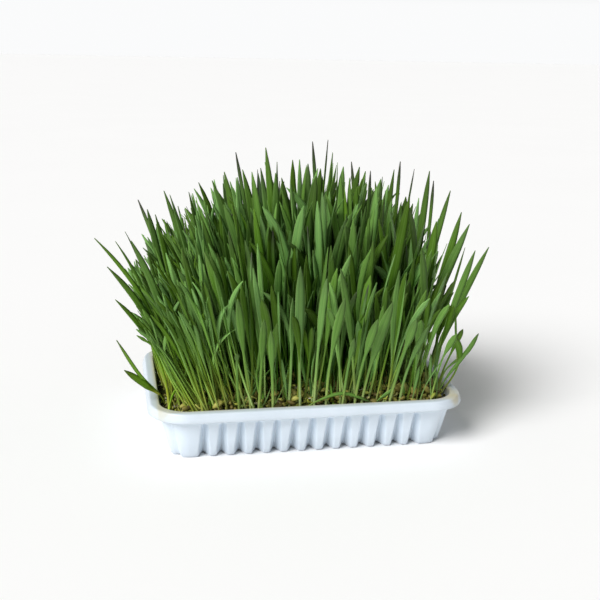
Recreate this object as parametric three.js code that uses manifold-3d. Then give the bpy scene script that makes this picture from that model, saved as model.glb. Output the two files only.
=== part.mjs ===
// A tray of wheatgrass: a fluted white plastic tray, a bed of soil, and young wheat growing in it.
// Millimetres, +Z up. The origin is on the table, midway between the tray's feet; X runs along the
// tray's long side and -Y is its front.

import * as THREE from 'three';
import { mergeVertices } from 'three/addons/utils/BufferGeometryUtils.js';
import Module from 'manifold-3d';

const wasm = await Module();
wasm.setup();

// ---- driving dimensions ----

const RIM_LENGTH = 198; // across the rim's lower lip, along X
const RIM_DEPTH = 140; // across the rim's lower lip, along Y
const RIM_CORNER = 25; // corner radius of the rim's outline
const RIM_FLARE = 1.2; // how far the lip stands out past the rim's top edge
const RIM_DROP = 5.5; // height of the rim's hanging skirt
const TRAY_HEIGHT = 32.5;
const LIP_HEIGHT = TRAY_HEIGHT - RIM_DROP; // the rim's lower lip
const SHEET = 1; // thickness of the plastic
const INSET_TOP = 6.5; // from the lip's outline to the outside of the wall, just under the rim
const INSET_BASE = 13.5; // the same at the base: the walls lean inwards
const BASE_ROUND = 1.4; // the rounded bottom edge of the wall

const FLUTE_PITCH = 11;
const FLUTE_WIDTH = 5.4; // at the foot of the wall
const FLUTE_TOP_SHARE = 0.55; // a flute's width near its top, as a share of its width at the foot
const FLUTE_DEPTH = 3;
const FLUTE_TOP = 23; // the flutes run out in the wall at this height
const FLUTES_LONG = 13; // on each long side
const FLUTES_SHORT = 9; // on each short side
const FOOT_HEIGHT = 2.8; // from the table to the tray's raised underside
const FOOT_REACH = 10; // how far a foot reaches in under the tray

const GAP = 0.4; // clearance between neighbouring solids
const SOIL_TOP = 24;
const MAT_THICKNESS = 3; // the mat of sprouted kernels and roots on the soil

const TUFT_COLUMNS = 9;
const TUFT_ROWS = 6;
const PLANTED_LENGTH = 166; // the stretch of soil that the tufts cover, along X
const PLANTED_DEPTH = 110;
const FAN_DEPTH = 225; // the shoots fan out as if from a point this far below the mat
const OVERHANG = 6; // how much further out the outermost shoots aim
const SHOOTS_PER_TUFT = 7;
const LEAF_WIDTH = 5.4;
const LEAF_FOLD = 1.3; // depth of a leaf's keel
const TALLEST = 150; // from the mat to the tip of the tallest leaf, in the middle
const END_DROP = 0.36; // how much shorter the grass is at the tray's ends, as a share
const SIDE_DROP = 0.3; // the same along its front and back
const SHORT_SHARE = 0.45; // how much shorter than its neighbours a shoot can be
const KERNEL = { length: 7, width: 3.2, height: 3 };
const KERNELS_PER_TUFT = 2;

const MAT_BASE = SOIL_TOP + GAP;
const MAT_TOP = MAT_BASE + MAT_THICKNESS;
const CELL_X = PLANTED_LENGTH / TUFT_COLUMNS;
const CELL_Y = PLANTED_DEPTH / TUFT_ROWS;

// ---- solids from rings of points ----

/** A solid for joining and cutting, from a closed geometry. */
function solidOf(geometry) {
  const bare = geometry.clone();
  bare.deleteAttribute('normal');
  bare.deleteAttribute('uv');
  const merged = mergeVertices(bare, 1e-5);
  return new wasm.Manifold(new wasm.Mesh({
    numProp: 3,
    vertProperties: Float32Array.from(merged.attributes.position.array),
    triVerts: Uint32Array.from(merged.index.array),
  }));
}

/** The geometry of a finished solid. */
function geometryOf(solid) {
  const mesh = solid.getMesh();
  const geometry = new THREE.BufferGeometry();
  geometry.setAttribute('position', new THREE.BufferAttribute(Float32Array.from(mesh.vertProperties), 3));
  geometry.setIndex([...mesh.triVerts]);
  return geometry;
}

/**
 * Skins rings of equal length. Each is a list of points that runs anticlockwise, seen from beyond the
 * last ring. The first and last rings are capped, or, with capped false, the last ring joins the first.
 */
function loft(rings, capped = true) {
  const size = rings[0].length;
  const index = [];
  const spans = capped ? rings.length - 1 : rings.length;
  for (let k = 0; k < spans; k++) {
    const low = k * size;
    const high = ((k + 1) % rings.length) * size;
    for (let i = 0; i < size; i++) {
      const j = (i + 1) % size;
      index.push(low + i, low + j, high + j, low + i, high + j, high + i);
    }
  }
  if (capped) {
    const last = (rings.length - 1) * size;
    for (let i = 1; i < size - 1; i++) {
      index.push(0, i + 1, i, last, last + i, last + i + 1);
    }
  }
  const geometry = new THREE.BufferGeometry();
  geometry.setAttribute('position', new THREE.Float32BufferAttribute(rings.flat().flatMap((p) => [p.x, p.y, p.z]), 3));
  geometry.setIndex(index);
  return geometry;
}

/** Joins solids into one. */
const joined = (solids) => solids.reduce((whole, next) => whole.add(next));

// ---- the tray ----

const ARC_STEPS = 6;
const CORNERS = [[1, 1], [-1, 1], [-1, -1], [1, -1]];

/** The rim's rounded outline, moved inwards by an inset, at a height. */
function outline(inset, z) {
  const radius = RIM_CORNER - inset;
  const centreX = RIM_LENGTH / 2 - RIM_CORNER;
  const centreY = RIM_DEPTH / 2 - RIM_CORNER;
  return CORNERS.flatMap(([sx, sy], quarter) => {
    const arc = [];
    for (let i = 0; i <= ARC_STEPS; i++) {
      const angle = (quarter + i / ARC_STEPS) * Math.PI / 2;
      const x = sx * centreX + radius * Math.cos(angle);
      arc.push(new THREE.Vector3(x, sy * centreY + radius * Math.sin(angle), z));
    }
    return arc;
  });
}

/** A solid whose sides follow the outline through [inset, height] steps, from the lowest up. */
const outlineSolid = (steps) => solidOf(loft(steps.map(([inset, z]) => outline(inset, z))));

/** How far the wall's outside lies in from the lip's outline at a height. It is upright behind the rim. */
function wallInset(z) {
  return THREE.MathUtils.lerp(INSET_BASE, INSET_TOP, Math.min(z / LIP_HEIGHT, 1));
}

/**
 * The middle of each flute on the wall: which way it faces, how far out the lip is that way, and where
 * the flute is along the side. There is one in the middle of each corner as well.
 */
function flutePlaces() {
  const places = [];
  for (const [sx, sy] of CORNERS) {
    const facing = Math.atan2(sy, sx);
    const [x, y] = [sx * (RIM_LENGTH / 2 - RIM_CORNER), sy * (RIM_DEPTH / 2 - RIM_CORNER)];
    const [cos, sin] = [Math.cos(facing), Math.sin(facing)];
    places.push({ along: y * cos - x * sin, reach: x * cos + y * sin + RIM_CORNER, facing });
  }
  const side = (count, reach, facings) => {
    for (let i = 0; i < count; i++) {
      for (const facing of facings) {
        places.push({ along: (i - (count - 1) / 2) * FLUTE_PITCH, reach, facing });
      }
    }
  };
  side(FLUTES_LONG, RIM_DEPTH / 2, [-Math.PI / 2, Math.PI / 2]);
  side(FLUTES_SHORT, RIM_LENGTH / 2, [0, Math.PI]);
  return places;
}

/** A point beside a flute: across it, outwards from the lip's outline, and up. */
function flutePoint({ along, reach, facing }, across, out, z) {
  const outward = new THREE.Vector3(Math.cos(facing), Math.sin(facing), 0);
  const sideways = new THREE.Vector3(-outward.y, outward.x, 0);
  return outward.multiplyScalar(reach + out).addScaledVector(sideways, along + across).setZ(z);
}

/**
 * The wedge that presses one flute into the wall. Swelling it by the sheet's thickness gives the rib
 * that the same flute makes on the inside.
 */
function fluteWedge(place, swell) {
  const levels = [[-1, 1, 1], [FLUTE_TOP - 5, FLUTE_TOP_SHARE, 0.8], [FLUTE_TOP + 1, FLUTE_TOP_SHARE / 2, -0.3]];
  const rings = levels.map(([level, widthShare, depthShare]) => {
    const z = level > 0 ? level + swell : level;
    const half = FLUTE_WIDTH / 2 * widthShare + swell;
    const wall = -wallInset(Math.max(z, 0));
    const bottom = wall - FLUTE_DEPTH * depthShare - swell;
    const section = [[half, wall + 2], [half, wall], [half * 0.55, bottom], [-half * 0.55, bottom],
      [-half, wall], [-half, wall + 2]];
    return section.map(([across, out]) => flutePoint(place, across, out, z));
  });
  return solidOf(loft(rings));
}

/** The arch under the wall at the foot of one flute, open to the tray's raised underside. */
function archUnder(place) {
  const half = FLUTE_WIDTH / 2;
  const section = [[-half, -1], [half, -1], [half, FOOT_HEIGHT * 0.6], [half * 0.6, FOOT_HEIGHT],
    [-half * 0.6, FOOT_HEIGHT], [-half, FOOT_HEIGHT * 0.6]];
  const ends = [-INSET_BASE - FOOT_REACH - 1, 0];
  return solidOf(loft(ends.map((out) => section.map(([across, z]) => flutePoint(place, across, out, z)))));
}

/** What fills the tray: the space inside its walls and floor, kept a clearance away from both. */
function fillTo(top, clearance) {
  const floor = FOOT_HEIGHT + SHEET + clearance;
  const inside = SHEET + clearance;
  const block = outlineSolid([
    [wallInset(floor) + inside + BASE_ROUND, floor],
    [wallInset(floor + BASE_ROUND) + inside, floor + BASE_ROUND],
    [wallInset(Math.min(top, LIP_HEIGHT)) + inside, Math.min(top, LIP_HEIGHT)],
    ...(top > LIP_HEIGHT ? [[INSET_TOP + inside, top]] : []),
  ]);
  return block.subtract(joined(flutePlaces().map((place) => fluteWedge(place, inside))));
}

/** The rim: a flat flange with a skirt that hangs from its outer edge. */
function rimSolid() {
  const inner = INSET_TOP + 2 * SHEET;
  const profile = [
    [SHEET, LIP_HEIGHT], [0, LIP_HEIGHT], [RIM_FLARE, TRAY_HEIGHT - 1], [RIM_FLARE + 1, TRAY_HEIGHT],
    [inner, TRAY_HEIGHT], [inner, LIP_HEIGHT + 1], [INSET_TOP + 0.2, LIP_HEIGHT + 1],
    [INSET_TOP - 0.6, TRAY_HEIGHT - SHEET], [RIM_FLARE + SHEET, TRAY_HEIGHT - SHEET],
  ];
  return solidOf(loft(profile.map(([inset, z]) => outline(inset, z)), false));
}

function tray() {
  const shell = outlineSolid([
    [INSET_BASE + BASE_ROUND, 0],
    [wallInset(BASE_ROUND), BASE_ROUND],
    [INSET_TOP, LIP_HEIGHT],
    [INSET_TOP, TRAY_HEIGHT - RIM_DROP / 2],
  ]);
  const underside = outlineSolid([
    [INSET_BASE + FOOT_REACH, -1],
    [INSET_BASE + FOOT_REACH + 1, FOOT_HEIGHT],
  ]);
  const flutes = flutePlaces();
  return shell
    .add(rimSolid())
    .subtract(fillTo(TRAY_HEIGHT + 1, 0))
    .subtract(joined(flutes.map((place) => fluteWedge(place, 0))))
    .subtract(joined(flutes.map(archUnder)))
    .subtract(underside);
}

// ---- the wheat ----

/** An even spread of values from 0 to 1: the same number always gives the same value. */
function scatter(number) {
  const value = Math.sin(number * 12.9898) * 43758.5453;
  return value - Math.floor(value);
}

/** A place in the bed as seen at the mat, carried up along the fan to a height. */
function fanned(x, y, z) {
  const spread = 1 + (z - MAT_TOP) / FAN_DEPTH;
  return new THREE.Vector3(x * spread, y * spread, z);
}

/** How tall the grass stands above the mat at a place in the bed: domed, and shorter at the edges. */
function stand(x, y) {
  const towardsEnd = Math.abs(x) / (PLANTED_LENGTH / 2);
  const towardsSide = Math.abs(y) / (PLANTED_DEPTH / 2);
  return TALLEST * (1 - Math.hypot(END_DROP * towardsEnd ** 2.1, SIDE_DROP * towardsSide ** 2.2));
}

/** Where along a leaf each section lies, and the leaf's width there as a share of the widest. */
const LEAF_SECTIONS = [[0, 0.4], [0.4, 0.85], [0.78, 0.95], [1, 0.08]];

/**
 * One leaf blade, folded along its keel, whose middle follows a path from 0 to 1. Its width lies
 * across, level and at the given angle to the X axis.
 */
function leafSolid(path, width, angle) {
  const across = new THREE.Vector3(Math.cos(angle), Math.sin(angle), 0);
  const keel = across.clone().cross(path(1).sub(path(0))).normalize();
  const section = (along, share) => {
    const middle = path(along);
    const half = width / 2 * share;
    return [
      middle.clone().addScaledVector(across, -half),
      middle.clone().addScaledVector(keel, LEAF_FOLD * share),
      middle.clone().addScaledVector(across, half),
    ];
  };
  return solidOf(loft(LEAF_SECTIONS.map(([along, share]) => section(along, share))));
}

/** A kernel of wheat lying in the mat. */
function kernelSolid(x, y, turn) {
  const geometry = new THREE.OctahedronGeometry(0.5, 0);
  geometry.scale(KERNEL.length, KERNEL.width, KERNEL.height);
  geometry.rotateZ(turn);
  geometry.translate(x, y, MAT_TOP);
  return solidOf(geometry);
}

/** Which way is out of the tray from a place in the grid: -1, 0 or 1. */
const outwards = (index, count) => (index === count - 1) - (index === 0);

const GOLDEN_ANGLE = 2.4;

/**
 * One tuft: a square of the kernel mat with the shoots that grow from it. Their roots lie on a spiral,
 * evenly spread over the square. Roots and tips both stay in the tuft's own share of the fan, but for
 * the first shoot of an edge tuft, which leans out over the rim.
 */
function tuft(column, row) {
  const number = 1 + row * TUFT_COLUMNS + column;
  const x = (column - (TUFT_COLUMNS - 1) / 2) * CELL_X;
  const y = (row - (TUFT_ROWS - 1) / 2) * CELL_Y;
  const room = (Math.min(CELL_X, CELL_Y) - GAP - LEAF_WIDTH) / 2;
  const pad = new THREE.BoxGeometry(CELL_X - GAP, CELL_Y - GAP, MAT_THICKNESS);
  pad.translate(x, y, (MAT_BASE + MAT_TOP) / 2);
  const pieces = [solidOf(pad)];

  for (let k = 0; k < SHOOTS_PER_TUFT; k++) {
    const draw = (n) => scatter(number * 40 + k * 9 + n);
    const bearing = k * GOLDEN_ANGLE + number + draw(0);
    const heading = bearing + 2.4 * (draw(1) - 0.5);
    const out = room * Math.sqrt((k + 0.5) / SHOOTS_PER_TUFT);
    const root = [x + Math.cos(bearing) * out, y + Math.sin(bearing) * out];
    const reach = room * (0.5 + 0.5 * draw(2));
    const end = [x + Math.cos(heading) * reach, y + Math.sin(heading) * reach];
    let height = stand(...end) * (1 - SHORT_SHARE * draw(3));
    if (k === 0) {
      end[0] = x + (room + OVERHANG) * outwards(column, TUFT_COLUMNS);
      end[1] = y + (room + OVERHANG) * outwards(row, TUFT_ROWS);
      height = stand(...end);
    }
    const path = (along) => fanned(
      THREE.MathUtils.lerp(root[0], end[0], along),
      THREE.MathUtils.lerp(root[1], end[1], along),
      THREE.MathUtils.lerp(MAT_TOP - MAT_THICKNESS / 2, MAT_TOP + height, along),
    );
    pieces.push(leafSolid(path, LEAF_WIDTH * (0.75 + 0.25 * draw(4)), draw(5) * 2 * Math.PI));
  }

  for (let k = 0; k < KERNELS_PER_TUFT; k++) {
    const draw = (n) => scatter(number * 17 + k * 5 + n);
    const reach = (Math.min(CELL_X, CELL_Y) - KERNEL.length) / 2 - GAP;
    const kx = x + (2 * draw(0) - 1) * reach;
    const ky = y + (2 * draw(1) - 1) * reach;
    pieces.push(kernelSolid(kx, ky, draw(2) * Math.PI));
  }
  return joined(pieces);
}

// ---- shoots that stand away from the rest ----

/** A leaf along a curve through the given points, from its foot to its tip. */
function leafAlong(points, width, angle) {
  const curve = new THREE.CatmullRomCurve3(points.map((p) => new THREE.Vector3(...p)));
  return leafSolid((along) => curve.getPoint(along), width, angle);
}

/** Rooted by the left end of the tray; it leans out over the rim with one long leaf and one short. */
function strayShootLeft() {
  const long = [[-87, -34, MAT_BASE], [-90, -37.5, 36.5], [-102, -45, 50], [-116, -52, 75]];
  const short = [[-90, -37.5, 36.5], [-98, -43.5, 43], [-106, -49, 50], [-112.5, -52, 56]];
  return joined([leafAlong(long, 4.2, -0.9), leafAlong(short, 5, -0.9)]);
}

/** Rooted by the right end; one leaf stands up, one points to the right, and one is short. */
function strayShootRight() {
  const upright = [[87.5, -39, MAT_BASE], [91, -43, 38], [97, -46, 58], [99.5, -47, 84]];
  const sideways = [[87.5, -39, MAT_BASE], [92, -43.5, 41], [101, -46, 54], [112, -46, 68]];
  const short = [[91, -43, 38], [96, -45.5, 50], [101, -47, 60], [104, -48, 71]];
  return joined([leafAlong(upright, 5.6, 0.3), leafAlong(sideways, 4.2, 0.3), leafAlong(short, 4.2, 0.3)]);
}

/** A leaf that has bent over in front: both of its ends are down by the front wall. */
function fallenLeafFront() {
  return leafAlong([[-11, -59, MAT_BASE], [-2, -60, 35.5], [18, -60, 38.3], [36, -60, 31.5]], 2.6, Math.PI / 2);
}

// ---- the finished tray ----

const material = (color, roughness) => new THREE.MeshStandardMaterial({ color, roughness, metalness: 0 });
const group = new THREE.Group();

function place(name, solid, look) {
  const mesh = new THREE.Mesh(geometryOf(solid), look);
  mesh.name = name;
  group.add(mesh);
}

place('tray', tray(), material(0xf1f4f8, 0.35));
place('soil_bed', fillTo(SOIL_TOP, GAP), material(0x33241a, 0.95));
for (let row = 0; row < TUFT_ROWS; row++) {
  for (let column = 0; column < TUFT_COLUMNS; column++) {
    place(`tuft_r${row + 1}_c${column + 1}`, tuft(column, row), material(0x5f8f3a, 0.5));
  }
}

const leafLook = material(0x6b9a45, 0.5);
place('stray_shoot_left', strayShootLeft(), leafLook);
place('stray_shoot_right', strayShootRight(), leafLook);
place('fallen_leaf_front', fallenLeafFront(), leafLook);

export default group;
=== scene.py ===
"""A tray of wheatgrass: a fluted white plastic tray, soil, sprouted kernels and about two thousand leaves.

Lengths are in millimetres until a mesh is made, in the frame of the CAD model: X runs along the tray,
-Y is its front and Z is up from the table.
"""

from math import ceil, cos, hypot, pi, radians, sin, sqrt

import bpy
import numpy as np
from mathutils import Matrix, Vector, noise


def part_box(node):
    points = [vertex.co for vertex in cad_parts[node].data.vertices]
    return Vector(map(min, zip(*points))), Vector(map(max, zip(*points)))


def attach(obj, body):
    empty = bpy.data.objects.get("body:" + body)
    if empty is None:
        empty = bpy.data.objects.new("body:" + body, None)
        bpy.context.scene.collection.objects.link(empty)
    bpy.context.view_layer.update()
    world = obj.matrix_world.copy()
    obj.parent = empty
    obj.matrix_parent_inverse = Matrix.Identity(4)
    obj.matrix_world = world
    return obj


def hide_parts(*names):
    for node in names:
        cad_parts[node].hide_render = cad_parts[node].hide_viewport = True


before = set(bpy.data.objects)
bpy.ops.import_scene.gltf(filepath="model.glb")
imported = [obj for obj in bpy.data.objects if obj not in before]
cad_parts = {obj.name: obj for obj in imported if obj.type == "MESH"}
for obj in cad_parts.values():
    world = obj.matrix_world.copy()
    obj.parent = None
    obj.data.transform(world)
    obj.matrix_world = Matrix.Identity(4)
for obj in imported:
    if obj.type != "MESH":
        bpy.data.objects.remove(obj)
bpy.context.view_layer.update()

MM = 0.001
rng = np.random.default_rng(20417)
uniform, gauss = rng.uniform, rng.normal


# ---- sizes

def box_mm(node):
    """A CAD node's lowest and highest corners in millimetres."""
    low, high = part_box(node)
    return np.array(low) / MM, np.array(high) / MM


TRAY_LOW, TRAY_HIGH = box_mm("tray")
SOIL_LOW, SOIL_HIGH = box_mm("soil_bed")
RIM_HALF = (TRAY_HIGH - TRAY_LOW)[:2] / 2
TRAY_HEIGHT = (TRAY_HIGH - TRAY_LOW)[2]
RIM_CORNER = 25.0
RIM_FLARE = 1.2
RIM_DROP = 5.5
LIP_HEIGHT = TRAY_HEIGHT - RIM_DROP
SHEET = 0.9
INSET_TOP = 6.5
INSET_BASE = 13.5
FLUTE_PITCH = 11.0
FLUTE_DEPTH = 6.6, 4.3  # at the table and near its top
FLUTE_TOP = 23.6
FLUTE_FOOT = 0.3, 3.9  # half the width of a flute's bottom, and between its shoulders, at the table
FLUTE_HEAD = 0.1, 2.3  # the same at its top
ARCH = 1.3, 3.2  # half the width of the arch under a flute, at its crown and at the table
FLUTES_LONG = 13
FLUTES_SHORT = 9
FOOT_HEIGHT = 2.8
ARCH_HEIGHT = 0.5
FOOT_REACH = 10.0

SOIL_TOP = SOIL_HIGH[2]
MAT_TOP = SOIL_TOP + 3.0
FAN_SHARE = np.array([0.33, 0.42])  # how much wider than the mat the stand is at the fan's height
FAN_HEIGHT = 130.0
FAN_POWER = 1.05  # over 1, the shoots bend outwards late
FAN_CENTRE = np.array([25.0, 0.0])  # the place in the bed where the shoots stand upright
LEAN = 0.02  # and the whole stand leans a little towards +X
GRID = np.array([9, 6])  # columns and rows of tufts
TUFT_COLUMNS, TUFT_ROWS = GRID
PLANTED = np.array([166.0, 110.0])
CELL = PLANTED / GRID
ROOT_SPREAD = np.array([1.0, 1.03])  # how far the roots reach, as a share of the planted grid
ROOT_SHIFT = np.array([-4.0, 0.0])  # leaves the right end of the bed a little bare
MOUND = 7.0  # how much higher the mat of kernels is in the middle than at the walls
STAND_HEIGHT = 138.0  # from the mat to the top of the canopy in the middle
LEFT_DROP = 0.48, 1.8  # how much shorter the grass is at the tray's left end, as a share, and how late
RIGHT_DROP = 0.4, 3.2  # the same at its right end
SIDE_DROP = 0.33, 2.2  # the same along its front and back


# ---- node graphs

BLACK, WHITE = (0, 0, 0), (1, 1, 1)


class Look:
    """A material, or a world, whose node graph is built with short calls."""

    def __init__(self, name, kind=bpy.data.materials, shader="Principled BSDF", **sockets):
        self.owner = kind.new(name)
        self.owner.use_nodes = True
        self.tree = self.owner.node_tree
        self.shader = self.tree.nodes[shader]
        self.finish(**sockets)

    def finish(self, **sockets):
        self.set(self.shader, sockets)

    def set(self, node, sockets):
        """Sets or links a node's inputs, by name or by number."""
        for key, value in sockets.items():
            socket = node.inputs[key if isinstance(key, int) else key.replace("_", " ")]
            if isinstance(value, bpy.types.NodeSocket):
                self.tree.links.new(value, socket)
            else:
                socket.default_value = value

    def add(self, kind, sockets=None, **settings):
        node = self.tree.nodes.new("ShaderNode" + kind)
        for key, value in settings.items():
            setattr(node, key, value)
        self.set(node, sockets or {})
        return node

    def place(self):
        """The piece's own coordinates, in metres in the frame."""
        return self.add("TexCoord").outputs["Object"]

    def stretched(self, vector, scale):
        return self.add("Mapping", {"Vector": vector, "Scale": scale}).outputs["Vector"]

    def noise(self, vector, scale, detail=3.0, roughness=0.55):
        inputs = {"Vector": vector, "Scale": scale, "Detail": detail, "Roughness": roughness}
        return self.add("TexNoise", inputs).outputs["Fac"]

    def tint(self):
        """The piece's own tint at a point, as three values."""
        colour = self.add("Attribute", attribute_name="tint").outputs["Color"]
        parts = self.add("SeparateColor", {"Color": colour})
        return [parts.outputs[name] for name in ("Red", "Green", "Blue")]

    def parts(self, vector):
        return self.add("SeparateXYZ", {"Vector": vector}).outputs

    def math(self, operation, a, b=0.0, clamp=False):
        return self.add("Math", {0: a, 1: b}, operation=operation, use_clamp=clamp).outputs[0]

    def times(self, a, b, clamp=False):
        return self.math("MULTIPLY", a, b, clamp)

    def plus(self, a, b):
        return self.math("ADD", a, b)

    def minus(self, a, b, clamp=False):
        return self.math("SUBTRACT", a, b, clamp)

    def fade(self, value, start, end):
        """How far a length has gone from start to end, in millimetres, from 0 to 1."""
        inputs = {"Value": value, "From_Min": start * MM, "From_Max": end * MM}
        return self.add("MapRange", inputs).outputs[0]

    def ramp(self, value, stops):
        """A colour ramp through (position, colour) stops."""
        node = self.add("ValToRGB", {"Fac": value})
        elements = node.color_ramp.elements
        while len(elements) < len(stops):
            elements.new(0.5)
        for element, (position, colour) in zip(elements, stops):
            element.position = position
            element.color = (*colour, 1.0)
        return node.outputs["Color"]

    def mix(self, a, b, share, blend="MIX"):
        """Two colours mixed; each input is a colour or a socket."""
        node = self.add("Mix", data_type="RGBA", blend_type=blend)
        for number, value in ((0, share), (6, a), (7, b)):
            self.set(node, {number: (*value, 1.0) if isinstance(value, tuple) else value})
        return node.outputs[2]

    def tinted(self, colour, other):
        return self.mix(colour, other, 1.0, "MULTIPLY")

    def scaled(self, colour, value):
        """A colour made darker or brighter by a value."""
        grey = self.add("CombineColor", {"Red": value, "Green": value, "Blue": value}).outputs["Color"]
        return self.tinted(colour, grey)

    def bump(self, height, distance, strength=1.0):
        """Bump whose height runs over the given distance in millimetres."""
        inputs = {"Height": height, "Distance": distance * MM, "Strength": strength}
        return self.add("Bump", inputs).outputs["Normal"]


# ---- meshes

def placed(name, data):
    """A new object in the scene."""
    item = bpy.data.objects.new(name, data)
    bpy.context.scene.collection.objects.link(item)
    return item


def new_mesh(name, points, faces, look, tints=None, leaf_uv=None, bake_uv=None):
    """A smooth-shaded piece from points in millimetres and faces, an array for each number of corners.

    tints and leaf_uv have a row for each point, and bake_uv has one for each face corner.
    """
    mesh = bpy.data.meshes.new(name)
    every_face = [face for group in faces for face in group.tolist()]
    mesh.from_pydata((points * MM).tolist(), [], every_face, shade_flat=False)
    if tints is not None:
        layer = mesh.attributes.new("tint", "FLOAT_COLOR", "POINT")
        rgba = np.column_stack([tints, np.ones(len(points))])
        layer.data.foreach_set("color", rgba.astype(np.float32).ravel())
    if leaf_uv is not None:
        leaf_uv = leaf_uv[np.concatenate([group.ravel() for group in faces])]
    for layer_name, uv in (("leaf", leaf_uv), ("OFBake", bake_uv)):
        if uv is not None:
            layer = mesh.uv_layers.new(name=layer_name)
            layer.data.foreach_set("uv", uv.astype(np.float32).ravel())
    mesh.materials.append(look.owner)
    piece = placed(name, mesh)
    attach(piece, "root")
    return piece


def smoothstep(low, high, value):
    """A smooth step from 0 at low to 1 at high, which may be the lower of the two."""
    t = np.clip((value - low) / (high - low), 0, 1)
    return t * t * (3 - 2 * t)


def unit(vectors):
    return vectors / np.maximum(np.linalg.norm(vectors, axis=-1, keepdims=True), 1e-9)


MAP_MARGIN = 0.02  # left free at the lower and the upper edge of a piece's map


def unrolled(columns, rows, poles, quad, fans):
    """The map of a skin unrolled into columns and rows: its quads, and the fan at each end.

    quad gives the order of a face's corners as steps right and up, and each fan as steps right, where half
    a step is the pole.
    """
    across = {0: columns[:-1], 0.5: (columns[:-1] + columns[1:]) / 2, 1: columns[1:]}
    faces = [[(across[right], rows[up:up + len(rows) - 1, None]) for right, up in quad]]
    for fan, row, pole in zip(fans, rows[[0, -1]], poles):
        faces.append([(across[step], pole if step == 0.5 else row) for step in fan])
    return [np.stack([np.stack(np.broadcast_arrays(*place), -1) for place in face], -2).reshape(-1, 2)
            for face in faces]


def skinned(rings, first, last):
    """Points, faces and map of a skin over rings, closed by a point at each end.

    The rings run anticlockwise seen from beyond the last.
    """
    count, size = len(rings), len(rings[0])
    points = np.vstack([*rings, [first], [last]])
    index = np.arange(count * size).reshape(count, size)
    after = np.roll(index, -1, 1)
    quads = np.stack([index[:-1], after[:-1], after[1:], index[1:]], -1).reshape(-1, 4)
    poles = np.full(size, count * size), np.full(size, count * size + 1)
    fans = np.vstack([
        np.stack([after[0], index[0], poles[0]], 1),
        np.stack([index[-1], after[-1], poles[1]], 1),
    ])

    apart = [np.linalg.norm(rings[k + 1] - rings[k], axis=1).mean() for k in range(count - 1)]
    heights = MAP_MARGIN + (1 - 2 * MAP_MARGIN) * np.concatenate([[0], np.cumsum(apart)]) / sum(apart)
    maps = unrolled(np.arange(size + 1) / size, heights, (0, 1), ((0, 0), (1, 0), (1, 1), (0, 1)),
                    ((1, 0, 0.5), (0, 1, 0.5)))
    return points, [quads, fans], np.vstack(maps)


# ---- the tray

SIDE_STEPS = np.array([0, 0.4, 0.9, 1.4, 1.9, 2.3, 2.7, 3.1, 3.6, 4.2])  # samples to each side of a flute
SIDE_END = 1.5  # an extra sample this far from each end of a side
ARC_STEPS = 36
CORNER_RADIUS = 12.0  # of the wall's corner, where the corner's flute is measured
CORNER_FLUTE = 0.4  # the depth of a corner's flute as a share of the others'
FLUTE_ROUND = 2.4  # the height over which a flute's top rounds off


def perimeter():
    """Samples round the tray: corner centre, outward direction, distance to a flute and its strength."""
    samples = []
    centre = RIM_HALF - RIM_CORNER
    for side in range(4):
        angle = side * pi / 2
        normal = np.array([round(cos(angle)), round(sin(angle))])
        tangent = np.array([-normal[1], normal[0]])
        half, depth = abs(tangent @ centre), abs(normal @ centre)
        count, next_count = (FLUTES_LONG, FLUTES_SHORT) if side % 2 else (FLUTES_SHORT, FLUTES_LONG)
        flutes = (np.arange(count) - (count - 1) / 2) * FLUTE_PITCH
        steps = np.add.outer(flutes, np.concatenate([SIDE_STEPS, -SIDE_STEPS[1:], [FLUTE_PITCH / 2]]))
        steps = np.unique(np.round(np.append(steps, [-half, -half + SIDE_END, half - SIDE_END]), 3))
        for s in steps[(steps >= -half) & (steps < half - 0.1)]:
            samples.append((*(normal * depth + tangent * s), *normal, abs(flutes - s).min(), 1.0))
        before, after = half - flutes[-1], depth - (next_count - 1) / 2 * FLUTE_PITCH
        for turn in np.linspace(0, pi / 2, ARC_STEPS, endpoint=False):
            off = min(before + turn * CORNER_RADIUS, after + (pi / 2 - turn) * CORNER_RADIUS), 1.0
            if off[0] >= FLUTE_PITCH / 2:
                off = abs(turn - pi / 4) * CORNER_RADIUS, CORNER_FLUTE
            samples.append((*(normal * depth + tangent * half), cos(angle + turn), sin(angle + turn),
                            *off))
    return np.split(np.array(samples), (2, 4, 5), 1)


ANCHORS, OUTWARD, FLUTE_OFF, FLUTE_STRENGTH = perimeter()
FLUTE_OFF, FLUTE_STRENGTH = FLUTE_OFF.ravel(), FLUTE_STRENGTH.ravel()


def outline(inset, z):
    """The rim's outline moved inwards; inset and z are numbers or one value for each sample."""
    points = ANCHORS + OUTWARD * np.broadcast_to(RIM_CORNER - inset, len(ANCHORS))[:, None]
    return np.column_stack([points, np.broadcast_to(z, len(ANCHORS))])


def wall_inset(z):
    """The wall's inset at a height, without its flutes."""
    return INSET_BASE + (INSET_TOP - INSET_BASE) * min(z / LIP_HEIGHT, 1.0)


def dent(z, clearance=0.0):
    """How deep the V-shaped flutes press the wall in at each sample; a clearance widens them."""
    share = sqrt(max(0.0, 1 - (max(z - FLUTE_TOP + FLUTE_ROUND, 0) / FLUTE_ROUND) ** 2))
    bottom, shoulder = (np.interp(z, [0, FLUTE_TOP], ends) for ends in zip(FLUTE_FOOT, FLUTE_HEAD))
    flank = np.clip((shoulder + clearance - FLUTE_OFF) / (shoulder - bottom), 0, 1)
    return np.interp(z, [0, FLUTE_TOP], FLUTE_DEPTH) * share * FLUTE_STRENGTH * flank


def wall(z, inwards=0.0, clearance=0.0):
    """The wall's inset at a height with its flutes, moved further in by a distance."""
    return wall_inset(z) + inwards + dent(z, clearance)


def arc(steps):
    """Sine and one minus cosine of a quarter turn in steps."""
    for step in range(steps + 1):
        turn = step / steps * pi / 2
        yield sin(turn), 1 - cos(turn)


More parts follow.
